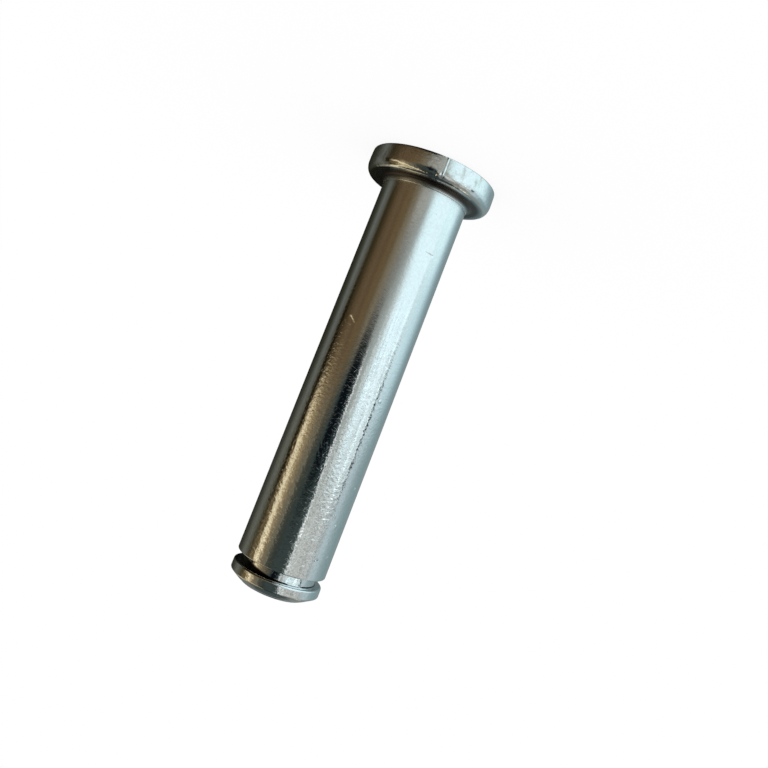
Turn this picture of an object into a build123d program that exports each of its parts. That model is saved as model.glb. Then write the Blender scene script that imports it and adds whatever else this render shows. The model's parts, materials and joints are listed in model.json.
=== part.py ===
from build123d import *
import os

# Foot peg pin: the headed clevis pin on which a folding foot peg turns in its bracket.
# It is turned in one piece from round bar: the head is left at nearly full bar size, the
# shank is turned down to its running fit, a groove for a side-fitted retaining ring is plunged
# near the end, and the nose is chamfered so that the pin finds its holes.
#
# Frame: origin at the centre of the head's flat outer face, +Z along the axis to the nose.

# ---- Driving dimensions (mm) ------------------------------------------------------------
shank_d = 10.0  # running diameter, in the ears of the bracket and the bore of the peg
grip_length = 43.75  # from the underside of the head to the groove

head_d = 14.6  # widest diameter of the head
head_thickness = 2.55
head_draft = 0.05  # the side of the head draws in by this much towards the outer face
rim_radius = 0.15  # broken edge round the outer face
shoulder_in = 0.65  # the head's edge on the shank side is worked down: this much inwards
shoulder_drop = 1.05  # and this much along the axis
neck_radius = 0.6  # fillet between head and shank

groove_d = 8.0  # floor of the retaining ring groove
groove_width = 1.1
groove_corner = 0.3  # left by the rounded corners of the grooving tool
lip_radius = 0.1  # broken edges of the groove

land_length = 1.0  # full-size land between the groove and the nose
nose_in = 1.4  # nose chamfer: this much inwards
nose_length = 0.9  # and this much along the axis
nose_radius = 0.15  # softened edges of the chamfer

# ---- Radii and heights that follow -------------------------------------------------------
shank_r = shank_d / 2
head_r = head_d / 2
groove_r = groove_d / 2
face_r = head_r - head_draft
nose_r = shank_r - nose_in

widest_z = head_thickness - shoulder_drop
groove_start = head_thickness + grip_length
groove_end = groove_start + groove_width
nose_start = groove_end + land_length
overall_length = nose_start + nose_length


def corners(section, *places):
    """The corners of a half section that lie at the given (radius, height) places."""
    return [section.vertices().sort_by_distance(Vector(*place))[0] for place in places]


with BuildPart() as pin:
    # Half section of the turned bar: on the sketch plane X is the radius and Y the height.
    with BuildSketch(Plane.XZ) as section:
        with BuildLine():
            axis_line = Line((0, overall_length), (0, 0))
            face = Line(axis_line @ 1, (face_r, 0))
            side = TangentArc((head_r, widest_z), face @ 1, tangent=(0, -1))
            shoulder = EllipticalCenterArc(
                (head_r - shoulder_in, widest_z), shoulder_in, shoulder_drop, start_angle=0, arc_size=90
            )
            Polyline(
                shoulder @ 1,
                (shank_r, head_thickness),
                (shank_r, groove_start),
                (groove_r, groove_start),
                (groove_r, groove_end),
                (shank_r, groove_end),
                (shank_r, nose_start),
                (nose_r, overall_length),
                axis_line @ 0,
            )
        make_face()
        fillet(corners(section, (face_r, 0)), rim_radius)
        fillet(corners(section, (shank_r, head_thickness)), neck_radius)
        fillet(corners(section, (groove_r, groove_start), (groove_r, groove_end)), groove_corner)
        fillet(corners(section, (shank_r, groove_start), (shank_r, groove_end)), lip_radius)
        fillet(corners(section, (shank_r, nose_start), (nose_r, overall_length)), nose_radius)
    revolve(axis=Axis.Z)

pin.part.label = "pin"

os.makedirs("parts", exist_ok=True)
export_step(pin.part, "parts/pin.step")

size = pin.part.bounding_box().size
print(f"pin: {size.X:.2f} x {size.Y:.2f} x {size.Z:.2f} mm, volume {pin.part.volume:.1f} mm3")
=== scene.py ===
# %% [markdown]
# # A foot peg pin in bright zinc plate
#
# A foot peg pin is the hinge pin of a motorcycle's folding foot rest. It is turned from
# round steel bar and then zinc plated, so it has one shape and one finish. Nearly all that
# the eye gets from such a part is what its skin reflects. So this lesson has four jobs: to
# turn the section, to put the small faults of a real part into it, to make the plate, and
# to build the studio that the plate mirrors.

# %% Load the frame
import json
from math import acos, atan2, ceil, cos, degrees, hypot, pi, radians, sin, sqrt, tan

import bpy
import numpy as np
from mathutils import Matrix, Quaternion, Vector, noise


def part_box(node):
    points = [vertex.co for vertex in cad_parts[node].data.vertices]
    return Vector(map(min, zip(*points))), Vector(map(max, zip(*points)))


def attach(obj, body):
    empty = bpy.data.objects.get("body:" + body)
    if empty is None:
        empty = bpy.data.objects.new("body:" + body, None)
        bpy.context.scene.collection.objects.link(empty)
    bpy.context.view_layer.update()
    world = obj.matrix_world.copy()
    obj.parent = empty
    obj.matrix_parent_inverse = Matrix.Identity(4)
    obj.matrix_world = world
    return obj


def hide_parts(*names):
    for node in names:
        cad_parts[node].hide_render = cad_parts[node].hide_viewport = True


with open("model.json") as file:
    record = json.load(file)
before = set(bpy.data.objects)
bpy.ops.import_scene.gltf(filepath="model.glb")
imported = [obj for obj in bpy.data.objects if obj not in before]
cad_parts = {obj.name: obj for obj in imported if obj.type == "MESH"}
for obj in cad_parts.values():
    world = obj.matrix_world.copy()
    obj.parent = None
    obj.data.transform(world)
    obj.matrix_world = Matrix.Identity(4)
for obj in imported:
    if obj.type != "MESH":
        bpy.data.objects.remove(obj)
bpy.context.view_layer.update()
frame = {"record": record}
record = frame["record"]
mm = 0.001

# %% [markdown]
# ## The sizes of the pin
#
# The pin stands on its head, with its axis on Z. Its fits are in the record: the shank
# and the retaining ring's groove are mounts, with their radii and lengths, and the face
# under the head is another. The box of the solid gives the head's diameter and the whole
# length. Only small roundings, which no fit depends on, are written here.

# %% Read the sizes
mounts = {mount["name"]: mount for mount in record["mounts"]}
pin_low, pin_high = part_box("pin")

head_r = pin_high.x
pin_length = pin_high.z
head_thickness = mounts["head_seat"]["pos_m"][2]
shank_r = mounts["shank"]["dims"]["r_mm"] * mm
groove_r = mounts["clip_groove"]["dims"]["r_mm"] * mm
groove_width = mounts["clip_groove"]["dims"]["length_mm"] * mm
groove_middle = mounts["clip_groove"]["pos_m"][2]
groove_start = groove_middle - groove_width / 2
groove_end = groove_middle + groove_width / 2

head_draft = 0.05 * mm  # the side of the head draws in by this towards the outer face
rim_radius = 0.15 * mm
shoulder_in, shoulder_drop = 0.65 * mm, 1.05 * mm  # the worked-down edge towards the shank
neck_radius = 0.6 * mm
lip_radius = 0.1 * mm
groove_corner, groove_sweep = 0.15 * mm, 0.12 * mm  # its floor's roundings, by shank and by collar
groove_rise = 0.15 * mm  # the floor is a shade higher at the collar, as the tool gave way
collar_lip = 0.18 * mm
nose_in, nose_length = 1.4 * mm, 0.9 * mm
nose_radius = 0.15 * mm
widest_z = head_thickness - shoulder_drop
print(f"head {2 * head_r / mm:.1f} mm, shank {2 * shank_r / mm:.1f} mm, groove {2 * groove_r / mm:.1f} mm")

# %% [markdown]
# ## The section
#
# A turned part is a half section swept round an axis. A Screw modifier on a drawn outline
# would do it, but it gives no hold on single points, and this pin has nicks and a raised
# line that sit at certain places on its skin. So the outline is a list of corners, each
# with its rounding, and code works out the arcs, just as the lathe's tools leave them.

# %% Round the corners of an outline
ARC_STEP = 15  # degrees of a rounding between two rings


def rounded(corners):
    """Points along an outline of (radius, height, rounding) corners, with the roundings drawn in."""
    points = []
    for number, (radius, height, rounding) in enumerate(corners):
        corner = np.array([radius, height])
        if not rounding:
            points.append(corner)
            continue
        before = np.array(corners[number - 1][:2]) - corner
        after = np.array(corners[number + 1][:2]) - corner
        before, after = before / hypot(*before), after / hypot(*after)
        half = acos(np.dot(before, after)) / 2
        middle = corner + (before + after) / hypot(*(before + after)) * rounding / sin(half)
        first = corner + before * rounding / tan(half) - middle
        last = corner + after * rounding / tan(half) - middle
        start = atan2(first[1], first[0])
        turn = (atan2(last[1], last[0]) - start + pi) % (2 * pi) - pi
        steps = max(3, ceil(abs(degrees(turn)) / ARC_STEP))
        for angle in np.linspace(start, start + turn, steps + 1):
            points.append(middle + rounding * np.array([cos(angle), sin(angle)]))
    return points


# %% Draw the pin's half section
SIDE_PIECES, SHOULDER_PIECES = 4, 18
side_start = 0.3 * mm  # the bowed side takes over from the rim here
side_bow = (widest_z**2 + head_draft**2) / (2 * head_draft)  # radius of the head's bowed side
side = [
    (head_r - side_bow + sqrt(side_bow**2 - (widest_z - height) ** 2), height, 0)
    for height in np.linspace(side_start, widest_z, SIDE_PIECES + 1)
]
shoulder = [
    (head_r - shoulder_in * (1 - cos(angle)), widest_z + shoulder_drop * sin(angle), 0)
    for angle in np.linspace(0, pi / 2, SHOULDER_PIECES + 1)[1:]
]
outline = rounded(
    [
        (0, 0, 0),
        (head_r - head_draft, 0, rim_radius),
        *side,
        *shoulder,
        (shank_r, head_thickness, neck_radius),
        (shank_r, groove_start, lip_radius),
        (groove_r, groove_start, groove_corner),
        (groove_r + groove_rise, groove_end, groove_sweep),
        (shank_r, groove_end, collar_lip),
        (shank_r, pin_length - nose_length, nose_radius),
        (shank_r - nose_in, pin_length, nose_radius),
        (0, pin_length, 0),
    ]
)
print(f"section: {len(outline)} points")

# %% [markdown]
# ## What use and handling left on the skin
#
# Azimuths are degrees round the pin: 0 faces -Y, where the camera will stand, and plus is
# towards +X. A mark is a short stroke on the unrolled skin: it has two ends, a width, and
# a height that is minus for a scratch and plus for a bump. Metal that is pushed aside
# stands up as low banks round a scratch, and it sinks a little round a bump. All this is
# done by moving points, not by bump, so that the bare mesh carries the marks as well.

# %% List the marks
DIE_LINE = -6.95  # azimuth of the raised line on the side of the head

# name: (azimuth, height) and (azimuth, height) in mm, width mm, depth micrometres
marks = {
    "line left by the header's split die": ((DIE_LINE, -0.1), (DIE_LINE, 2.05), 0.13, 22),
    "lump at the end of the line": ((-4.2, 2.04), (-3.5, 2.07), 0.34, 80),
    "long slanting scratch": ((33.3, 18.95), (26.2, 19.5), 0.19, -34),
    "cross dent near the head": ((-27.4, 9.63), (-38.6, 9.68), 0.16, -55),
    "pit near the head": ((-20.8, 5.47), (-20.2, 5.50), 0.15, -45),
    "pimple in the brown side": ((22.4, 37.1), (19.6, 37.3), 0.24, 22),
    "nick by the groove": ((-37.4, 44.03), (-43.1, 43.85), 0.17, -28),
    "nick on the flank": ((-28.2, 39.61), (-35.4, 39.52), 0.15, -18),
    "hooked dent": ((42.3, 33.4), (40.6, 34.12), 0.18, -10),
    "bright speck": ((-44.3, 26.2), (-44.8, 26.2), 0.22, 60),
    "upper tick": ((36.2, 22.29), (30.2, 22.16), 0.11, -6),
    "lower tick": ((37.8, 23.0), (33.0, 23.1), 0.11, -6),
    "nick on the land": ((-38.0, 48.13), (-44.5, 48.04), 0.13, -14),
    "drag mark": ((-9.2, 11.0), (-12.3, 12.83), 0.12, -2),
    "first speck by the nose": ((-50.7, 40.2), (-51.6, 40.2), 0.22, 55),
    "second speck": ((-59.8, 43.6), (-60.6, 43.6), 0.22, 55),
    "third speck": ((-63.2, 35.9), (-64.0, 36.0), 0.22, 55),
    "fourth speck": ((-42.6, 39.1), (-43.3, 39.3), 0.2, 45),
    "faint pit": ((-57.0, 41.0), (-58.5, 41.1), 0.26, -12),
    "bright pimple near the nose": ((-25.3, 45.0), (-26.0, 45.0), 0.17, 30),
    "dimple above it": ((-24.0, 41.9), (-25.4, 41.9), 0.18, -8),
    "first needle": ((9.0, 32.3), (4.7, 33.15), 0.15, -6),
    "second needle": ((6.0, 32.2), (-1.1, 33.6), 0.15, -6),
    "third needle": ((3.8, 32.85), (-2.7, 34.1), 0.15, -6),
    "fourth needle": ((0.8, 32), (-2.1, 32.75), 0.15, -6),
    "fifth needle": ((7.3, 33.55), (2.1, 34.5), 0.15, -6),
    "sixth needle": ((0.2, 33.95), (-3.9, 34.8), 0.15, -6),
    "far scratch": ((150.0, 30.0), (162.0, 28.9), 0.32, -12),
    "far dent": ((-128.0, 15.0), (-133.0, 15.2), 0.36, -12),
    "side scratch": ((104.0, 12.0), (96.0, 12.9), 0.32, -10),
    "head nick": ((118.0, 0.5), (121.0, 1.4), 0.32, -18),
}
heights = [height for *_, height in marks.values()]
print(f"marks: {len(marks)}, from {min(heights)} to {max(heights)} micrometres")

# %% [markdown]
# Long runs are now cut into short ones, because the skin is not perfect and needs points
# to be moved. The shank's rings stand closer where it has a mark, for a scratch is
# thinner than a plain step. Each run also gets a ring close to both its ends: smooth
# shading averages the faces round a point, and without these holding rings a sharp
# little edge would look like a soft swell.

# %% Put rings where the marks are
SHANK_STEP = 0.38 * mm
MARK_STEP = 0.09 * mm
FINE_ENOUGH = 0.3  # mm; for a mark that is wider than this a plain step will do
BESIDE = 1.5  # the finer rings go on beside a mark for this many times its width
LONGEST_MARK = 1.6 * mm  # a longer one would cost too many rings
CLOSEST = 0.6  # rings nearer than this share of a fine step are dropped


def finer_at_marks(places, base, length):
    """Shares of the shank's run, with more of them wherever a mark crosses it."""
    for (_, first), (_, last), width, _ in marks.values():
        if width > FINE_ENOUGH:
            continue
        low, high = sorted((first, last))
        low, high = (low - BESIDE * width) * mm, (high + BESIDE * width) * mm
        if high - low < LONGEST_MARK and base < low and high < base + length:
            fine = np.arange(low, high, MARK_STEP)
            places = [p for p in places if not low < base + p * length < high]
            places += list((fine - base) / length)
    places = sorted(places)
    gap = CLOSEST * MARK_STEP / length
    return [p for p, after in zip(places, places[1:]) if after - p > gap] + [1.0]


# %% Divide the runs
SIDE_STEP = 0.12 * mm
FACE_STEP = 0.6 * mm
HOLD = 0.02 * mm  # a holding ring's distance from the end of its run
FACE_MIDDLE = 1 * mm  # a flat run that ends nearer to the axis than this is a whole face
SHANK_RUN = 10 * mm  # only the shank has a longer run
SHORT_RUN = 6 * HOLD  # and a shorter run than this gets no holding rings


def divided(points):
    """The outline with its straight runs cut into short steps, and holding rings at their ends."""
    made = [points[0]]
    for start, end in zip(points, points[1:]):
        length = hypot(*(end - start))
        flat = abs(end[1] - start[1]) < HOLD
        step = FACE_STEP if flat and min(start[0], end[0]) < FACE_MIDDLE else SIDE_STEP
        if length > SHANK_RUN:
            step = SHANK_STEP
        pieces = max(1, ceil(length / step))
        places = list(np.linspace(0, 1, pieces + 1)[1:])
        if length > SHANK_RUN:
            places = finer_at_marks(places, start[1], length)
        if length > SHORT_RUN and pieces > 1:
            places = [HOLD / length, *places[:-1], 1 - HOLD / length, 1]
        made += [start + (end - start) * place for place in places]
    return np.array(made)


section = divided(outline)
along = np.gradient(section, axis=0)
along /= np.hypot(along[:, 0], along[:, 1])[:, None]
outward = np.column_stack([along[:, 1], -along[:, 0]])  # the skin's normal in the half plane
print(f"divided: {len(section)} rings")

# %% [markdown]
# Each stroke adds its own height to the skin. A bell curve over the distance from the
# stroke gives it a round floor, and a second one, a little way off, gives it its banks.

# %% Work out how high the skin stands
STROKE_REACH = 0.6  # all reaches are in widths of the mark
BANK_AT, BANK_REACH = 1.3, 0.5  # how far off its banks stand, and how broad they are
BANKS = 0.25  # height of a scratch's banks as a share of its depth
SINK = 0.1  # and how far the skin sinks round a bump


def unrolled_distance(azimuth, height, radius, start, end):
    """Distance on the unrolled skin from a stroke between two (azimuth, height mm) places."""
    across = np.radians((azimuth - start[0] + 180) % 360 - 180) * radius
    up = height - start[1] * mm
    run = np.array([radians(end[0] - start[0]) * radius, (end[1] - start[1]) * mm])
    share = np.clip((across * run[0] + up * run[1]) / np.dot(run, run), 0, 1)
    return np.hypot(across - share * run[0], up - share * run[1])


def mark_height(azimuth, height, radius):
    """Height of all marks at places on the skin, in metres."""
    total = np.zeros_like(azimuth)
    for start, end, width, microns in marks.values():
        reach = unrolled_distance(azimuth, height, radius, start, end) / (width * mm)
        groove = np.exp(-((reach / STROKE_REACH) ** 2))
        banks = np.exp(-(((reach - BANK_AT) / BANK_REACH) ** 2))
        total += microns * 1e-6 * (groove - (BANKS if microns < 0 else SINK) * banks)
    return total


# %% [markdown]
# Zinc grows a little unevenly, and the bar under it is not dead true. A slow noise moves
# the skin by a few thousandths of a millimetre. That is far too little to see as a shape,
# but a mirror turns it into wavy edges in everything that it shows. It is calm by the
# head and livelier towards the nose. The shoulder of the head, where the die let the
# metal flow, is the roughest place, and its rim has small bites.

# %% Add the unevenness
WAVE = 0.9 * mm  # size of the swells on the shank
WAVE_HEIGHT = ((14, 30), (0.8, 3.2))  # heights on the pin in mm, and the swells there in micrometres
FLATTENED = 1.3  # the swells are this much longer round the pin than along it
TAPER = ((0, 9, 28, 49), (-70, -60, 0, 30))  # heights in mm, and the radius' error in micrometres
RIPPLE, RIPPLE_HEIGHT = 0.36 * mm, 14  # swells on the shoulder, and their height in micrometres
BITES, BITE_DEPTH = (4.0, 20.0), 28  # azimuths between which the rim is nibbled, and micrometres


def swell(x, y, z, size, seed):
    """Noise between about -1 and 1 with features of one size."""
    return noise.noise(Vector((x / size + seed, y / size, z / size)))


def unevenness(azimuth, x, y, z, radius):
    """Height of the skin's swells at one place, in metres."""
    height = np.interp(z / mm, *WAVE_HEIGHT) * swell(x, y, z * FLATTENED, WAVE, seed=0)
    if groove_r < radius <= shank_r:
        height += np.interp(z / mm, *TAPER)
    if radius > shank_r + neck_radius and z > widest_z:
        height += RIPPLE_HEIGHT * swell(x, y, z, RIPPLE, seed=40)
    if z < rim_radius and radius > head_r - 2 * rim_radius and BITES[0] < azimuth < BITES[1]:
        height -= BITE_DEPTH * abs(swell(x, y, z, RIPPLE, seed=80))
    return height * 1e-6


# %% [markdown]
# ## Turning the section
#
# Each point of the section becomes a ring, and neighbouring rings are joined by faces.
# The stations round the pin stand closer at the front, where nearly all the marks are,
# and closest between the raised line and the needle scratches, which are thinner than a
# plain step. The two flat ends close on a single point.

# %% Choose the stations round the pin
FRONT_STEP, BACK_STEP, FINEST_STEP = 1.35, 2.9, 0.3  # degrees
FRONT = 76  # the front reaches so far to both sides
FINEST_FROM, FINEST_TO = DIE_LINE - 2.2, 9.6
fine = np.arange(FINEST_FROM, FINEST_TO, FINEST_STEP)
right = np.arange(-FRONT, fine[0] - FRONT_STEP / 2, FRONT_STEP)
left = np.arange(fine[-1] + FRONT_STEP, FRONT, FRONT_STEP)
back = np.arange(left[-1] + BACK_STEP, 360 - FRONT - BACK_STEP / 2, BACK_STEP)
stations = np.concatenate([right, fine, left, back])
facing = np.column_stack([np.sin(np.radians(stations)), -np.cos(np.radians(stations))])
print(f"stations: {len(stations)}, {len(fine)} of them fine")

# %% Place the points
LEAST_R = 1 * mm  # nearer to the axis than this, marks are measured as if on a ring of this radius
UPRIGHT = 0.2  # marks lie only where the skin's normal points outwards by more than this
rings = section[1:-1]
ring_normals = outward[1:-1]
vertices = [(0, 0, 0)]
for (radius, height), (normal_r, normal_z) in zip(rings, ring_normals):
    lift = mark_height(stations, np.full(len(stations), height), max(radius, LEAST_R))
    lift *= abs(normal_r) > UPRIGHT
    for station, (east, south), mark in zip(stations, facing, lift):
        x, y = radius * east, radius * south
        rise = mark + unevenness(station, x, y, height, radius)
        far = radius + normal_r * rise
        vertices.append((far * east, far * south, height + normal_z * rise))
vertices.append((0, 0, pin_length))
vertices = np.array(vertices)
vertices[:, :2] = np.clip(vertices[:, :2], -head_r, head_r)
vertices[:, 2] = np.clip(vertices[:, 2], 0, pin_length)

# %% Join them
count = len(stations)
faces = []
for ring in range(len(rings) - 1):
    for place in range(count):
        a = 1 + ring * count + place
        b = 1 + ring * count + (place + 1) % count
        faces.append((a, b, b + count, a + count))
last_ring = 1 + (len(rings) - 1) * count
for place in range(count):
    after = (place + 1) % count
    faces.append((0, 1 + after, 1 + place))
    faces.append((len(vertices) - 1, last_ring + place, last_ring + after))

mesh = bpy.data.meshes.new("turned_pin")
mesh.from_pydata(vertices.tolist(), [], faces)
mesh.shade_smooth()
mesh.validate()
pin_body = bpy.data.objects.new("turned_pin", mesh)
bpy.context.collection.objects.link(pin_body)
triangles = sum(len(face.vertices) - 2 for face in mesh.polygons)
print(f"pin: {len(mesh.vertices)} points, {triangles} triangles")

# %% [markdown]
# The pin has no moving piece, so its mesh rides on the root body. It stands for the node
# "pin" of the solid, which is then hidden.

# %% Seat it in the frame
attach(pin_body, "root")
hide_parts("pin")
print(f"seated: {pin_body.name} on the root body")

# %% [markdown]
# ## Bright zinc plate on steel
#
# Zinc put on in a bath with brighteners is a mirror that never quite closes: a pale,
# slightly bluish metal, smooth to the finger, whose reflections keep their colours but
# lose their edges. Principled BSDF does it as a full metal with a near-white colour and a
# low roughness. What makes it real is that nothing is even: the roughness drifts, the
# feed lines of the lathe show faintly through the plate, and towards the nose it is
# covered with shallow dimples.
#
# One small function adds any node with its settings and links. In the plate's cells each
# name then holds the output that is used further on, and not the node.

# %% Colours and nodes
def linear(code, strength=1.0):
    """An sRGB hex colour as the linear RGBA that Blender works in."""
    shares = [int(code[place : place + 2], 16) / 255 for place in (1, 3, 5)]
    steps = [s / 12.92 if s <= 0.04045 else ((s + 0.055) / 1.055) ** 2.4 for s in shares]
    return (*[strength * step for step in steps], 1.0)


def put(tree, kind, inputs=None, **settings):
    """Adds a node. Settings are its own properties; inputs are values, or outputs to link."""
    node = tree.nodes.new(kind)
    for name, value in settings.items():
        setattr(node, name, value)
    for name, value in (inputs or {}).items():
        if isinstance(value, bpy.types.NodeSocket):
            tree.links.new(value, node.inputs[name])
        else:
            node.inputs[name].default_value = value
    return node


# %% Start the plate
plate = bpy.data.materials.new("bright_zinc_plate_on_steel")
plate.use_nodes = True
tree = plate.node_tree
shader = tree.nodes["Principled BSDF"]
shader.inputs["Metallic"].default_value = 1.0
place = put(tree, "ShaderNodeTexCoord").outputs["Object"]
x_at, y_at, z_at = put(tree, "ShaderNodeSeparateXYZ", {"Vector": place}).outputs
across = put(
    tree, "ShaderNodeVectorMath", {0: place, 1: (1.0, 1.0, 0.0)}, operation="MULTIPLY"
).outputs[0]
off_axis = put(tree, "ShaderNodeVectorMath", {0: across}, operation="LENGTH").outputs["Value"]
print(f"material: {plate.name}")

# %% [markdown]
# Dimples on a turned part are a little longer round the pin than along it. Scaling the
# noise more along Z than across does that on every side at once, with no seam. How strong
# they are follows the height on the pin.

# %% Dimples
DIMPLE = 0.32 * mm
STRETCH = 0.8  # how much the dimples are drawn out round the pin
CALM = 0.28  # share of their depth by the head
CALM_TO, LIVELY_FROM = 8 * mm, 36 * mm  # heights on the pin

drawn_out = put(
    tree, "ShaderNodeVectorMath", {0: place, 1: (STRETCH, STRETCH, 1.0)}, operation="MULTIPLY"
).outputs[0]
dimples = put(
    tree,
    "ShaderNodeTexNoise",
    {"Vector": drawn_out, "Scale": 1 / DIMPLE, "Detail": 1.5, "Roughness": 0.5},
).outputs["Fac"]
towards_nose = put(
    tree,
    "ShaderNodeMapRange",
    {"Value": z_at, "From Min": CALM_TO, "From Max": LIVELY_FROM, "To Min": CALM, "To Max": 1.0},
    interpolation_type="SMOOTHSTEP",
).outputs["Result"]
print(f"dimples: {DIMPLE / mm:.2f} mm, at their full depth from {LIVELY_FROM / mm:.0f} mm up")

# %% Lathe lines and grain
FEED = 0.16 * mm  # one turn of the lathe; a real fine cut is 0.05 to 0.1, too fine to show
GRAIN = 0.12 * mm

# on the shank this follows Z, and on a flat face the distance from the axis
travel = put(tree, "ShaderNodeMath", {0: z_at, 1: off_axis}, operation="SUBTRACT").outputs[0]
lathe_lines = put(
    tree,
    "ShaderNodeTexNoise",
    {"W": travel, "Scale": 1 / FEED, "Detail": 1.0},
    noise_dimensions="1D",
).outputs["Fac"]
grain = put(
    tree, "ShaderNodeTexNoise", {"Vector": place, "Scale": 1 / GRAIN, "Detail": 1.0}
).outputs["Fac"]
print(f"lathe lines: {FEED / mm:.2f} mm apart, grain: {GRAIN / mm:.2f} mm")

# %% [markdown]
# Handling in bins and in the bracket draws fine short hairlines, most of them nearly
# round the pin. Noise that is stretched along one direction and cut off high up leaves
# just such needles. It needs the unrolled skin: the turn round the axis times the radius
# is one direction, and Z the other. The seam lies at the back.

# %% Unroll the skin
south = put(tree, "ShaderNodeMath", {0: y_at, 1: -1.0}, operation="MULTIPLY").outputs[0]
turn = put(tree, "ShaderNodeMath", {0: x_at, 1: south}, operation="ARCTAN2").outputs[0]
round_about = put(tree, "ShaderNodeMath", {0: turn, 1: shank_r}, operation="MULTIPLY").outputs[0]
unrolled = put(
    tree, "ShaderNodeCombineXYZ", {"X": round_about, "Y": z_at, "Z": off_axis}
).outputs[0]
print(f"unrolled: {2 * pi * shank_r / mm:.1f} mm round the shank")

# %% Hairlines
HAIR = (0.8 * mm, 0.13 * mm)  # length and width; real ones are finer, but would not show
HAIR_SLANTS = (-14, 24, 62)  # degrees
HAIR_FROM, HAIR_FULL = 0.62, 0.74  # values of the noise between which a hair rises

hairs = 0.0
for slant in HAIR_SLANTS:
    laid = put(
        tree,
        "ShaderNodeMapping",
        {"Vector": unrolled, "Rotation": (0, 0, radians(slant)), "Scale": (*HAIR, 1 * mm)},
        vector_type="TEXTURE",
    ).outputs[0]
    streaks = put(
        tree, "ShaderNodeTexNoise", {"Vector": laid, "Scale": 1.0, "Detail": 1.0}
    ).outputs["Fac"]
    sparse = put(
        tree,
        "ShaderNodeMapRange",
        {"Value": streaks, "From Min": HAIR_FROM, "From Max": HAIR_FULL},
        interpolation_type="SMOOTHSTEP",
    ).outputs["Result"]
    hairs = put(tree, "ShaderNodeMath", {0: hairs, 1: sparse}, operation="MAXIMUM").outputs[0]
hair_height = put(
    tree, "ShaderNodeMath", {0: hairs, 1: towards_nose}, operation="MULTIPLY"
).outputs[0]
print(f"hairlines: {len(HAIR_SLANTS)} directions, {HAIR[0] / mm:.1f} mm long")

# %% [markdown]
# The bracket has rubbed the pin along one strip, where the dimples are half as deep. Beside
# that strip, on the cold side, they are a little deeper than elsewhere.

# %% The rubbed strip
# share of the dimples' depth; in mm its middle, half its even part and half the whole
STRIPS = [
    (0.5, 0.25, 0.4, 1.1),
    (1.3, -2.6, 0.9, 1.7),
]

wear = 1.0
for share, middle, even, whole in STRIPS:
    beside = put(
        tree, "ShaderNodeMath", {0: round_about, 1: middle * mm}, operation="SUBTRACT"
    ).outputs[0]
    beside = put(tree, "ShaderNodeMath", {0: beside}, operation="ABSOLUTE").outputs[0]
    strip = put(
        tree,
        "ShaderNodeMapRange",
        {"Value": beside, "From Min": even * mm, "From Max": whole * mm, "To Min": share},
        interpolation_type="SMOOTHSTEP",
    ).outputs["Result"]
    wear = put(tree, "ShaderNodeMath", {0: wear, 1: strip}, operation="MULTIPLY").outputs[0]
print(f"wear: {len(STRIPS)} strips along the shank")

# %% [markdown]
# Each Bump node takes the normal of the one before it, so the layers add up. Their depths
# are true ones, in metres, and so they stay right at any size of render. The side of the
# head has dimples as well, for it comes from the die and not from the lathe.

# %% How deep the dimples are
HEAD_DIMPLES = 0.7  # on the head they have this share of their depth
HEAD_FROM, HEAD_FULL = shank_r + 1 * mm, shank_r + 1.7 * mm

on_head_rim = put(
    tree,
    "ShaderNodeMapRange",
    {"Value": off_axis, "From Min": HEAD_FROM, "From Max": HEAD_FULL, "To Max": HEAD_DIMPLES},
).outputs["Result"]
worn = put(tree, "ShaderNodeMath", {0: wear, 1: towards_nose}, operation="MULTIPLY").outputs[0]
how_deep = put(tree, "ShaderNodeMath", {0: on_head_rim, 1: worn}, operation="MAXIMUM").outputs[0]
from_mean = put(tree, "ShaderNodeMath", {0: dimples, 1: 0.5}, operation="SUBTRACT").outputs[0]
dimple_height = put(
    tree, "ShaderNodeMath", {0: from_mean, 1: how_deep}, operation="MULTIPLY"
).outputs[0]
print(f"head: dimples from {HEAD_FROM / mm:.1f} mm off the axis, full at {HEAD_FULL / mm:.1f} mm")

# %% Bump
DIMPLE_DEPTH = 17e-6  # metres
HAIR_DEPTH = -3.5e-6
LINE_DEPTH = 0.7e-6
GRAIN_DEPTH = 1.8e-6

layers = (
    (dimple_height, DIMPLE_DEPTH),
    (hair_height, HAIR_DEPTH),
    (lathe_lines, LINE_DEPTH),
    (grain, GRAIN_DEPTH),
)
under = {}
for height, depth in layers:
    skin = put(
        tree, "ShaderNodeBump", {"Height": height, "Distance": depth, **under}
    ).outputs["Normal"]
    under = {"Normal": skin}
tree.links.new(skin, shader.inputs["Normal"])
print(f"bump: {len(layers)} layers, the deepest {DIMPLE_DEPTH * 1e6:.0f} micrometres")

# %% [markdown]
# Colour and roughness drift over a few millimetres, as the plate is a little thicker in
# one place than in the next and fingers leave their film. Over that lies a fine mottling,
# so that not even a plain reflection is quite plain.

# %% Drift of colour and roughness
CLOUD = 3.5 * mm
CLOUD_LOW, CLOUD_HIGH = 0.3, 0.7  # values of the noise for the clearest and the dullest plate
CLEAREST, DULLEST = 0.03, 0.08  # roughness
ZINC_PALE = "#ECEFF1"
ZINC_DULL = "#DDE0E1"
SHARE, FIRST, SECOND, MIXED = 0, 6, 7, 2  # sockets of a Mix node for colours: three in, one out

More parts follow.
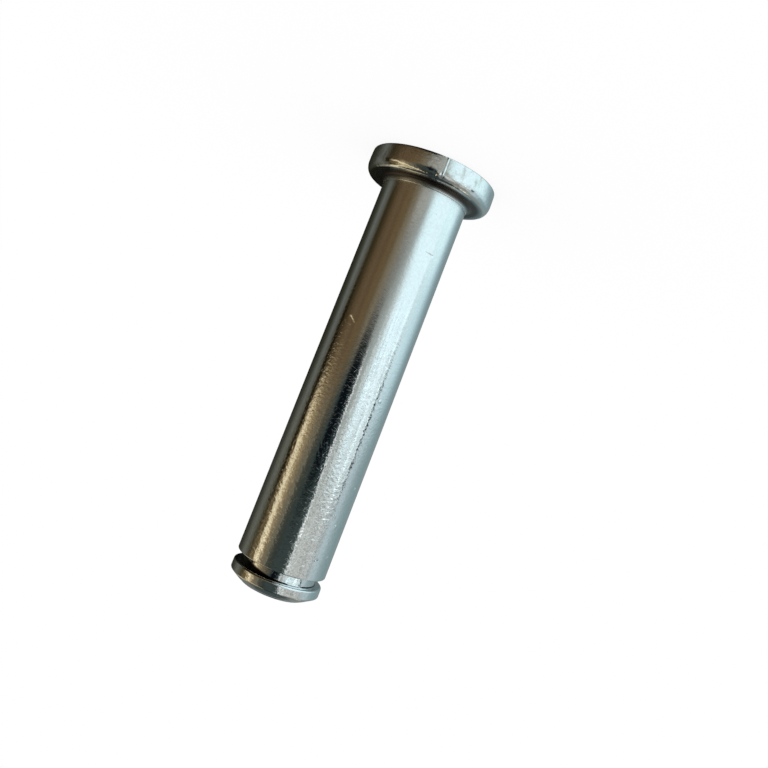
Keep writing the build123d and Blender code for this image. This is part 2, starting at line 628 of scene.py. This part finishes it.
clouds = put(
    tree,
    "ShaderNodeTexNoise",
    {"Vector": drawn_out, "Scale": 1 / CLOUD, "Detail": 4.0, "Roughness": 0.6},
).outputs["Fac"]
colour = put(
    tree,
    "ShaderNodeMix",
    {SHARE: clouds, FIRST: linear(ZINC_PALE), SECOND: linear(ZINC_DULL)},
    data_type="RGBA",
).outputs[MIXED]
roughness = put(
    tree,
    "ShaderNodeMapRange",
    {
        "Value": clouds,
        "From Min": CLOUD_LOW,
        "From Max": CLOUD_HIGH,
        "To Min": CLEAREST,
        "To Max": DULLEST,
    },
).outputs["Result"]
print(f"plate: roughness {CLEAREST} to {DULLEST}")

# %% Mottling
MOTTLE = 0.22 * mm
MOTTLE_LOW, MOTTLE_HIGH = 0.35, 0.65  # values of the noise between which a spot rises
MOTTLE_SHARE = 0.16  # how much of the colour of the spots comes in at most
ZINC_SPOTS = "#A9A8A2"

mottle = put(
    tree, "ShaderNodeTexNoise", {"Vector": place, "Scale": 1 / MOTTLE, "Detail": 1.0}
).outputs["Fac"]
mottled = put(
    tree,
    "ShaderNodeMapRange",
    {"Value": mottle, "From Min": MOTTLE_LOW, "From Max": MOTTLE_HIGH, "To Max": MOTTLE_SHARE},
).outputs["Result"]
colour = put(
    tree,
    "ShaderNodeMix",
    {SHARE: mottled, FIRST: colour, SECOND: linear(ZINC_SPOTS)},
    data_type="RGBA",
).outputs[MIXED]
print(f"mottling: spots of {MOTTLE / mm:.2f} mm")

# %% [markdown]
# Two places differ. The head is die-forged, not turned, so its side is duller, with brown
# and grey stains that lie in its grain. And the corner under the head gets painted shade:
# a dark brown colour and a duller finish. Both are masks from the place on the pin alone.

# %% Find the forged side of the head
FORGED_FROM, FORGED_FULL = shank_r + 1.3 * mm, shank_r + 1.9 * mm  # from the axis
FORGED_TO, FORGED_END = widest_z + 0.2 * mm, widest_z + 0.6 * mm  # up the pin

outside = put(
    tree,
    "ShaderNodeMapRange",
    {"Value": off_axis, "From Min": FORGED_FROM, "From Max": FORGED_FULL},
).outputs["Result"]
below = put(
    tree,
    "ShaderNodeMapRange",
    {"Value": z_at, "From Min": FORGED_TO, "From Max": FORGED_END, "To Min": 1.0, "To Max": 0.0},
).outputs["Result"]
forged = put(tree, "ShaderNodeMath", {0: outside, 1: below}, operation="MULTIPLY").outputs[0]
print(f"forged side: up to {FORGED_TO / mm:.2f} mm, and faded out at {FORGED_END / mm:.2f} mm")

# %% Stain the forged head
STAIN = 0.8 * mm
STAIN_DRAWN = 0.55  # less than 1 draws the stains out along Z
STAIN_LOW, STAIN_HIGH = 0.5, 0.7  # values of the noise between which a stain rises
STAIN_SHARE = 0.7
STAIN_TINT = "#A89D8E"
HEAD_DULLNESS = 0.11

upright = put(
    tree, "ShaderNodeVectorMath", {0: place, 1: (1.0, 1.0, STAIN_DRAWN)}, operation="MULTIPLY"
).outputs[0]
stains = put(
    tree,
    "ShaderNodeTexNoise",
    {"Vector": upright, "Scale": 1 / STAIN, "Detail": 5.0, "Roughness": 0.65},
).outputs["Fac"]
stained = put(
    tree,
    "ShaderNodeMapRange",
    {"Value": stains, "From Min": STAIN_LOW, "From Max": STAIN_HIGH, "To Max": STAIN_SHARE},
).outputs["Result"]
on_head = put(tree, "ShaderNodeMath", {0: stained, 1: forged}, operation="MULTIPLY").outputs[0]
colour = put(
    tree,
    "ShaderNodeMix",
    {SHARE: on_head, FIRST: colour, SECOND: linear(STAIN_TINT)},
    data_type="RGBA",
).outputs[MIXED]
roughness = put(
    tree, "ShaderNodeMath", {0: forged, 1: HEAD_DULLNESS, 2: roughness}, operation="MULTIPLY_ADD"
).outputs[0]
print(f"forged head: stains of {STAIN / mm:.1f} mm, roughness {HEAD_DULLNESS} more")

# %% Painted shade in the corner under the head
CORNER_SHADE_R, CORNER_SHADE_Z = shank_r + 0.6 * mm, head_thickness + 0.1 * mm  # its middle
CORNER_SHADE_SPREAD = 0.62  # less than 1 draws it out across the underside of the head
CORNER_SHADE_FULL, CORNER_SHADE_END = 0.25 * mm, 0.7 * mm  # from its middle
# painted shade: a dark brown colour in the corner under the head, where shade falls
CORNER_SHADE_TINT = "#56504C"
CORNER_SHADE_DULLNESS = 0.22

corner_r = put(tree, "ShaderNodeMath", {0: off_axis, 1: CORNER_SHADE_R}, operation="SUBTRACT").outputs[0]
corner_r = put(
    tree, "ShaderNodeMath", {0: corner_r, 1: CORNER_SHADE_SPREAD}, operation="MULTIPLY"
).outputs[0]
corner_z = put(tree, "ShaderNodeMath", {0: z_at, 1: CORNER_SHADE_Z}, operation="SUBTRACT").outputs[0]
corner = put(tree, "ShaderNodeCombineXYZ", {"X": corner_r, "Y": corner_z}).outputs[0]
from_corner = put(
    tree, "ShaderNodeVectorMath", {0: corner}, operation="LENGTH"
).outputs["Value"]
painted_corner_shade = put(
    tree,
    "ShaderNodeMapRange",
    {
        "Value": from_corner,
        "From Min": CORNER_SHADE_FULL,
        "From Max": CORNER_SHADE_END,
        "To Min": 1.0,
        "To Max": 0.0,
    },
    interpolation_type="SMOOTHSTEP",
).outputs["Result"]
# the painted shade of the corner is mixed into the colour here, and the finish made duller
colour = put(
    tree,
    "ShaderNodeMix",
    {SHARE: painted_corner_shade, FIRST: colour, SECOND: linear(CORNER_SHADE_TINT)},
    data_type="RGBA",
).outputs[MIXED]
roughness = put(
    tree, "ShaderNodeMath", {0: painted_corner_shade, 1: CORNER_SHADE_DULLNESS, 2: roughness}, operation="MULTIPLY_ADD"
).outputs[0]
print(f"film: {CORNER_SHADE_END / mm:.1f} mm round the corner under the head")

# %% A haze below the head
HAZE_FULL = 0.4 * mm  # all distances are from the head, along the shank
HAZE_FADES, HAZE_END = 0.5 * mm, 3.2 * mm
HAZE_DULLNESS = 0.2

from_head = put(
    tree, "ShaderNodeMath", {0: z_at, 1: head_thickness}, operation="SUBTRACT"
).outputs[0]
past_neck = put(
    tree, "ShaderNodeMapRange", {"Value": from_head, "From Min": 0.0, "From Max": HAZE_FULL}
).outputs["Result"]
haze = put(
    tree,
    "ShaderNodeMapRange",
    {
        "Value": from_head,
        "From Min": HAZE_FADES,
        "From Max": HAZE_END,
        "To Min": HAZE_DULLNESS,
        "To Max": 0.0,
    },
).outputs["Result"]
roughness = put(
    tree, "ShaderNodeMath", {0: past_neck, 1: haze, 2: roughness}, operation="MULTIPLY_ADD"
).outputs[0]
print(f"haze: fades out {HAZE_END / mm:.1f} mm from the head")

# %% [markdown]
# The groove is for a retaining ring. Its lower corner gets painted shade: a near-black thin
# line with a gap in it, which on one side lies deep and fills the floor too.

# %% How far the painted shade in the groove reaches
SHADE_LINE, SHADE_DEEP = 0.15 * mm, 1.0 * mm  # from the corner, as a line and where it lies deep
SHADE_LEFT = 0.01 * mm  # what is left of the line in its gap
SHADE_GAP = -2.1 * mm  # the place of the gap along X
GAP_CLEAN, GAP_END = 0.3 * mm, 0.9 * mm  # from the middle of the gap
DEEP_FROM, DEEP_FULL = -0.8 * mm, 4 * mm  # along X
DEEP_CURVE = 1.8  # more than 1 keeps it shallow for longer

gap_at = put(tree, "ShaderNodeMath", {0: x_at, 1: SHADE_GAP}, operation="SUBTRACT").outputs[0]
from_gap = put(tree, "ShaderNodeMath", {0: gap_at}, operation="ABSOLUTE").outputs[0]
shade_line = put(
    tree,
    "ShaderNodeMapRange",
    {
        "Value": from_gap,
        "From Min": GAP_CLEAN,
        "From Max": GAP_END,
        "To Min": SHADE_LEFT,
        "To Max": SHADE_LINE,
    },
).outputs["Result"]
to_side = put(
    tree, "ShaderNodeMapRange", {"Value": x_at, "From Min": DEEP_FROM, "From Max": DEEP_FULL}
).outputs["Result"]
to_side = put(tree, "ShaderNodeMath", {0: to_side, 1: DEEP_CURVE}, operation="POWER").outputs[0]
shade_reach = put(
    tree, "ShaderNodeMath", {0: to_side, 1: SHADE_DEEP, 2: shade_line}, operation="MULTIPLY_ADD"
).outputs[0]
print(f"oil: a line of {SHADE_LINE / mm:.2f} mm, and up to {(SHADE_LINE + SHADE_DEEP) / mm:.2f} mm")

# %% Where the painted shade lies
SHADE_SOLID, SHADE_END = 0.6, 1.0  # shares of its reach between which it thins out
LAND_FROM, LAND_FULL = shank_r - 0.12 * mm, shank_r - 0.02 * mm  # outside the groove there is none

shade_r = put(
    tree, "ShaderNodeMath", {0: off_axis, 1: groove_r + groove_rise}, operation="SUBTRACT"
).outputs[0]
shade_z = put(tree, "ShaderNodeMath", {0: z_at, 1: groove_end}, operation="SUBTRACT").outputs[0]
groove_at = put(tree, "ShaderNodeCombineXYZ", {"X": shade_r, "Y": shade_z}).outputs[0]
from_groove = put(
    tree, "ShaderNodeVectorMath", {0: groove_at}, operation="LENGTH"
).outputs["Value"]
shade_share = put(
    tree, "ShaderNodeMath", {0: from_groove, 1: shade_reach}, operation="DIVIDE"
).outputs[0]
shaded_groove = put(
    tree,
    "ShaderNodeMapRange",
    {
        "Value": shade_share,
        "From Min": SHADE_SOLID,
        "From Max": SHADE_END,
        "To Min": 1.0,
        "To Max": 0.0,
    },
    interpolation_type="SMOOTHSTEP",
).outputs["Result"]
in_groove = put(
    tree,
    "ShaderNodeMapRange",
    {
        "Value": off_axis,
        "From Min": LAND_FROM,
        "From Max": LAND_FULL,
        "To Min": 1.0,
        "To Max": 0.0,
    },
).outputs["Result"]
groove_shade = put(tree, "ShaderNodeMath", {0: shaded_groove, 1: in_groove}, operation="MULTIPLY").outputs[0]
print(f"oil: thins out over the last {SHADE_END - SHADE_SOLID:.0%} of its reach")

# %% Paint shade into the groove and close the plate
# painted shade: a near-black colour in the groove's corner and over one side of its floor
GROOVE_SHADE = "#171512"
GROOVE_SHADE_DULLNESS = 0.2

colour = put(
    tree,
    "ShaderNodeMix",
    {SHARE: groove_shade, FIRST: colour, SECOND: linear(GROOVE_SHADE)},
    data_type="RGBA",
).outputs[MIXED]
roughness = put(
    tree, "ShaderNodeMath", {0: groove_shade, 1: GROOVE_SHADE_DULLNESS, 2: roughness}, operation="MULTIPLY_ADD"
).outputs[0]
tree.links.new(colour, shader.inputs["Base Color"])
tree.links.new(roughness, shader.inputs["Roughness"])
mesh.materials.append(plate)
print(f"plate: {len(tree.nodes)} nodes")

# %% [markdown]
# ## The studio
#
# A mirror-like part is lit by what stands round it. Studios that show cutlery and tools
# hang cards about the subject: a big white one for the light, dark ones to draw its
# edges, warm ones for life. Here the cards are painted on one large sphere with soft
# edges, and only reflections can see it, so the floor stays white and evenly lit.
#
# First come the walls, as colours at azimuths round the pin, one colour for what the head
# end shows, below the middle, and one for the nose end. Then cards are laid over them.

# %% Paint the walls
ROOM_R = 300 * mm
room_az, room_el = np.meshgrid(np.arange(-180, 181, 1.0), np.arange(-90, 91, 1.0))

# azimuth, colour low down, colour high up
walls = [
    (-180, "#5F7072", "#5A6A6B"),
    (-166, "#7F9093", "#7F8D8E"),
    (-150, "#8A9A9C", "#909F9F"),
    (-138, "#8A9EA0", "#8B9EA0"),
    (-126, "#9AB3B8", "#8CA4A6"),
    (-114, "#BAD6DC", "#96ABAD"),
    (-104, "#D2EEF5", "#A2B6B8"),
    (-94, "#DAF7FE", "#B8CBCF"),
    (-84, "#E2FAFE", "#C2D1D5"),
    (-72, "#E2F5F6", "#BAC0BE"),
    (-60, "#E8F6F6", "#CCCFCC"),
    (-48, "#E8F4F2", "#B8B9B3"),
    (-34, "#D8E3E0", "#CCCFCA"),
    (-22, "#BAC2BE", "#C8CDC7"),
    (-12, "#A4ABA7", "#8C9894"),
    (0, "#8E8F88", "#4A5654"),
    (12, "#858072", "#353F3E"),
    (22, "#80755F", "#383D38"),
    (32, "#6B5B42", "#494B42"),
    (42, "#6E5A3E", "#736D5B"),
    (50, "#63503A", "#85775D"),
    (60, "#69573F", "#A8946F"),
    (72, "#5C4B35", "#8F7E5A"),
    (80, "#453A25", "#6A5D3F"),
    (90, "#362E1C", "#463F2A"),
    (100, "#5E5D53", "#5C5A4C"),
    (112, "#6C6F68", "#6C6D63"),
    (124, "#484940", "#5A5B52"),
    (134, "#36372B", "#42443A"),
    (150, "#2A2B21", "#36372E"),
    (165, "#1C1C14", "#24241B"),
    (176, "#11110A", "#1A1A13"),
    (180, "#3A4040", "#3C4241"),
]

# azimuth, colour of the walls' tops under the ceiling
tops = [
    (-180, "#858D8C"),
    (-150, "#8A8D86"),
    (-121, "#8E9C9C"),
    (-100, "#9BA59F"),
    (-65, "#A4A296"),
    (-45, "#8A8780"),
    (-22, "#6E7270"),
    (-4, "#2C3536"),
    (16, "#30332E"),
    (28, "#4A483C"),
    (45, "#74674F"),
    (62, "#C4B28C"),
    (74, "#CDBB94"),
    (84, "#6A5C42"),
    (92, "#2E2718"),
    (109, "#5A5446"),
    (140, "#8F8A78"),
    (165, "#757169"),
    (180, "#858D8C"),
]


def soft_step(value, edge, width):
    """0 below an edge and 1 above it, with a soft passage of some width."""
    share = np.clip((value - edge) / width + 0.5, 0, 1)
    return share * share * (3 - 2 * share)


def round_the_room(rows, column):
    """One colour for every place of the room, from the azimuths of a list of walls."""
    azimuths = [row[0] for row in rows]
    shades = np.array([linear(row[column])[:3] for row in rows])
    return np.stack([np.interp(room_az, azimuths, shades[:, part]) for part in range(3)], axis=-1)


UPPER, TOP = (1, 12), (27, 13)  # elevation where the next colours take over, and over how much
room = round_the_room(walls, 1)
for colours, passage in ((round_the_room(walls, 2), UPPER), (round_the_room(tops, 1), TOP)):
    share = soft_step(room_el, *passage)[..., None]
    room = room * (1 - share) + colours * share
print(f"walls: {len(walls)} and {len(tops)} colours on {room_az.size} points")

# %% [markdown]
# A card has hard edges only in theory: lamps glow past their rims and cloth folds. So each
# side has its own softness, in degrees. A card can lean, because the reflection of a
# straight upright edge runs a little askew along a pin that is seen from close by.

# %% Make a card
def card(azimuth, elevation, colour, strength=1.0, soft=(4, 4, 4), lean=0.0):
    """Lays a card over the room. It leans by some degrees of azimuth for each degree of elevation.

    The three soft widths are those of its first side, its second side, and its bottom and top.
    """
    across = room_az - lean * room_el
    cover = soft_step(across, azimuth[0], soft[0]) * (1 - soft_step(across, azimuth[1], soft[1]))
    cover *= soft_step(room_el, elevation[0], soft[2]) * (1 - soft_step(room_el, elevation[1], soft[2]))
    shade = np.array(linear(colour, strength)[:3])
    room[:] = room * (1 - cover[..., None]) + shade * cover[..., None]


# %% Hang the cards
# below and above
card((-107, -24), (-95, -13), "#E0FBFF", strength=1.2, soft=(24, 24, 9))  # pale table top
card((-12, 12), (-30, -17), "#B4B3AA", soft=(14, 14, 6))  # the table's near edge
card((-5, 200), (-95, -29), "#12110C", soft=(12, 4, 6))  # unlit floor beyond it
card((-200, -158), (47, 95), "#46504F", soft=(4, 14, 8))  # back of the ceiling
card((158, 200), (47, 95), "#46504F", soft=(14, 4, 8))
card((-190, 190), (62, 95), "#363E3F", soft=(1, 1, 10))  # dark ceiling

# cold side
card((-75, -32), (-95, 7), "#E4FAFF", strength=1.24, soft=(4, 27, 9))  # the window
card((-75, -40), (-4, 9), "#E6F6F8", strength=1.12, soft=(4, 16, 6))  # its upper panes
card((-80.8, -75.8), (-3, 9), "#22302F", soft=(2, 2, 8))  # its dark frame
card((-118, -88), (48.5, 56), "#FFF4DA", strength=1.3, soft=(10, 10, 4))  # lamp over the table

# middle
card((-6.5, 26), (-3.5, 40), "#3E4845", soft=(6, 14, 8), lean=-0.4)  # dark cloth behind the camera
card((-7.5, 8), (-3, 10), "#303B3C", soft=(5, 8, 6), lean=-0.6)  # its corner, which hangs askew
card((-1, 17), (-6.5, 11), "#0C1318", soft=(6, 9, 10))  # and its darkest fold
card((-10.3, -7.8), (-3, 21), "#FFFFFF", strength=1.1, soft=(2.5, 2.5, 4), lean=-0.6)  # its lit edge

# warm side
card((36.8, 39.8), (3, 40), "#7C7764", soft=(2, 2, 5))  # edge of a door
card((78, 88), (5, 60), "#6B5C42", soft=(6, 4, 6))  # glow beside the strip
card((70, 85), (1.5, 60), "#FFE6B8", strength=0.72, soft=(9, 5, 7), lean=-0.85)  # warm strip light
card((75, 81), (4.5, 60), "#FFF1CC", strength=0.9, soft=(5, 4, 8), lean=-0.85)  # its tube
card((86, 96), (-9, 12), "#211A0D", soft=(4, 5, 6))  # dark gap beside it
card((72, 155), (42, 55), "#E6D6B0", soft=(10, 10, 5))  # lamp over it
print(f"cards: the room goes from {room.min():.3f} to {room.max():.2f}")

# %% [markdown]
# A plain card gives a plain stripe. A real window has leaves behind it and a real lamp
# has folds in its shade, and the dimples of the plate pick these up as sparkle. So two
# parts of the room get soft spots of light and dark.

# %% Break up the light
DAPPLE_SIDES, DAPPLE_ENDS = 5, 8  # softness of its edges, in degrees


def dapple(azimuth, elevation, size, depth, seed):
    """Soft light and dark spots over one part of the room, some degrees in size."""
    cover = soft_step(room_az, azimuth[0], DAPPLE_SIDES)
    cover *= 1 - soft_step(room_az, azimuth[1], DAPPLE_SIDES)
    cover *= soft_step(room_el, elevation[0], DAPPLE_ENDS)
    cover *= 1 - soft_step(room_el, elevation[1], DAPPLE_ENDS)
    places = zip(room_az.flat, room_el.flat)
    spots = [noise.noise(Vector((east / size, up / size, seed))) for east, up in places]
    room[:] = room * (1 + depth * cover * np.reshape(spots, room_az.shape))[..., None]


dapple((-76, -18), (-7, 60), size=1.8, depth=0.95, seed=3.5)  # leaves behind the window
dapple((58, 92), (-3, 60), size=1.6, depth=1.2, seed=8.5)  # folds by the warm light
print(f"spots: the room now goes up to {room.max():.2f}")

# %% [markdown]
# The sphere is a grid with a point for each degree, and the colours sit on its points.
# Its light goes to glossy rays alone, so it can't tint the floor or show to the camera.

# %% Make the sphere
rows, columns = room_az.shape
azimuth, elevation = np.radians(room_az).ravel(), np.radians(room_el).ravel()
dome = np.column_stack(
    [np.sin(azimuth) * np.cos(elevation), -np.cos(azimuth) * np.cos(elevation), np.sin(elevation)]
)
dome = dome * ROOM_R + np.array([0, 0, pin_length / 2])
firsts = [row * columns + column for row in range(rows - 1) for column in range(columns - 1)]
patches = [(first, first + 1, first + columns + 1, first + columns) for first in firsts]
room_mesh = bpy.data.meshes.new("studio_cards")
room_mesh.from_pydata(dome.tolist(), [], patches)
paint = room_mesh.color_attributes.new("paint", "FLOAT_COLOR", "POINT")
paint.data.foreach_set("color", np.concatenate([room, np.ones((rows, columns, 1))], axis=-1).ravel())
studio = bpy.data.objects.new("studio_cards", room_mesh)
bpy.context.collection.objects.link(studio)
studio.visible_camera = False
studio.visible_diffuse = False
studio.visible_shadow = False
studio.visible_transmission = False
studio.visible_volume_scatter = False
print(f"sphere: {len(patches)} patches")

# %% Paint it
card_paint = bpy.data.materials.new("card_paint")
card_paint.use_nodes = True
card_paint.cycles.emission_sampling = "NONE"
tree = card_paint.node_tree
tree.nodes.clear()
painted = put(tree, "ShaderNodeAttribute", attribute_name="paint")
glow = put(tree, "ShaderNodeEmission", {"Color": painted.outputs["Color"]})
put(tree, "ShaderNodeOutputMaterial", {"Surface": glow.outputs[0]})
room_mesh.materials.append(card_paint)
print(f"card paint: {len(tree.nodes)} nodes")

# %% [markdown]
# The floor is a plain white sheet under a plain white sky of strength 1, so it comes out
# white and keeps only the soft shadow at the foot of the pin. It is left out of the
# plate's reflections, where the cards carry on below it.

# %% Floor and sky
FLOOR = 3.0  # metres each way
SEEN_WHITE = 0.85  # what the camera sees of it is so much plain white, and the rest has the shadow
floor_mesh = bpy.data.meshes.new("floor")
corners = [(-FLOOR, -FLOOR, 0), (FLOOR, -FLOOR, 0), (FLOOR, FLOOR, 0), (-FLOOR, FLOOR, 0)]
floor_mesh.from_pydata(corners, [], [(0, 1, 2, 3)])
floor = bpy.data.objects.new("floor", floor_mesh)
bpy.context.collection.objects.link(floor)
floor.visible_glossy = False
print(f"floor: {2 * FLOOR:.0f} metres across")

# %% White paper and white sky
sheet = bpy.data.materials.new("white_paper_sheet")
sheet.use_nodes = True
tree = sheet.node_tree
tree.nodes.clear()
matt = put(tree, "ShaderNodeBsdfDiffuse", {"Color": linear("#FFFFFF")})
bare = put(tree, "ShaderNodeEmission", {"Color": linear("#FFFFFF")})
seen = put(tree, "ShaderNodeLightPath")
to_camera = seen.outputs["Is Camera Ray"]
white = put(tree, "ShaderNodeMath", {0: to_camera, 1: SEEN_WHITE}, operation="MULTIPLY").outputs[0]
paper = put(tree, "ShaderNodeMixShader", {0: white, 1: matt.outputs[0], 2: bare.outputs[0]})
put(tree, "ShaderNodeOutputMaterial", {"Surface": paper.outputs[0]})
floor_mesh.materials.append(sheet)
print(f"paper: {len(tree.nodes)} nodes")

world = bpy.data.worlds.new("white_sky")
world.use_nodes = True
bpy.context.scene.world = world
world.node_tree.nodes["Background"].inputs["Color"].default_value = linear("#FFFFFF")
world.node_tree.nodes["Background"].inputs["Strength"].default_value = 1.0

# %% [markdown]
# ## The camera
#
# The view is a close-up of the pin held nose down, from almost level with its middle.
# The pin stands on its head here, so the camera is turned nearly upside down instead.
# A close camera with a wide lens gives the strong taper towards the far end.

# %% Place the camera
camera_place = Vector((0, -86.36 * mm, 26.36 * mm))
camera_aim = Vector((-1.80 * mm, 0, 20.23 * mm))
CAMERA_ROLL = -158.69  # degrees about the line of sight
FOCAL_LENGTH = 36.43  # mm, for a sensor of 36 mm

lens = bpy.data.cameras.new("camera")
lens.lens = FOCAL_LENGTH
lens.sensor_width = 36
lens.shift_y = -0.05
lens.clip_start = 0.005
camera = bpy.data.objects.new("camera", lens)
bpy.context.collection.objects.link(camera)
camera.location = camera_place
camera.rotation_mode = "QUATERNION"
level = (camera_aim - camera_place).to_track_quat("-Z", "Y")
camera.rotation_quaternion = level @ Quaternion((0, 0, 1), radians(CAMERA_ROLL))
bpy.context.scene.camera = camera
bpy.context.scene.view_settings.view_transform = "Standard"
print(f"camera: {(camera_aim - camera_place).length / mm:.1f} mm from what it looks at")
